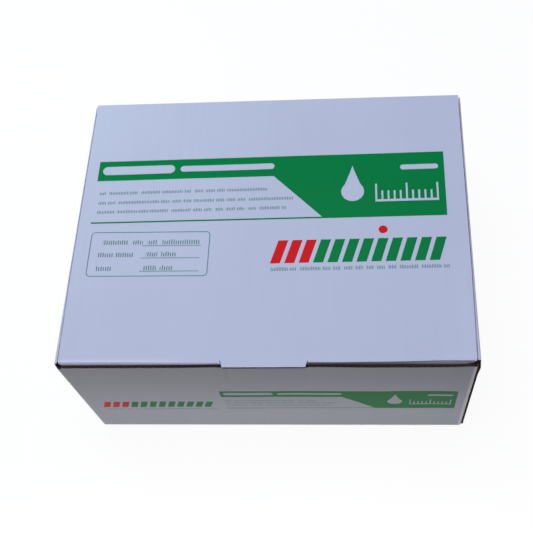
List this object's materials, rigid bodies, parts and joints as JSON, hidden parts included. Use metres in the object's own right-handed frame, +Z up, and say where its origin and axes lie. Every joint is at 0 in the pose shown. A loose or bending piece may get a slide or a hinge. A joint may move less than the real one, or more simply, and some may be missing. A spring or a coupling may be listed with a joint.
{
  "type": "corrugated tuck-lid carton",
  "caption": "Folded white corrugated carton with rolled double side walls and a hinged tuck lid, for small wrapped medical disposables.",
  "frame": {"origin": "middle of the footprint, on the surface the carton stands on", "axes": "+X along the length, +Y from the front to the hinged back, +Z up"},
  "size_m": [0.2, 0.1563, 0.089],
  "materials": {
    "white_board": "white coated outer liner with matt green print, kraft flutes and inner liner"
  },
  "bodies": {
    "tray": {"carton_tray": "white_board"},
    "lid": {"carton_lid": "white_board"}
  },
  "joints": [
    {"name": "lid_hinge", "type": "hinge", "parent": "tray", "child": "lid", "pos_m": [0, 0.078, 0.0875], "axis": [-1, 0, 0], "range_deg": [0, 180]}
  ]
}
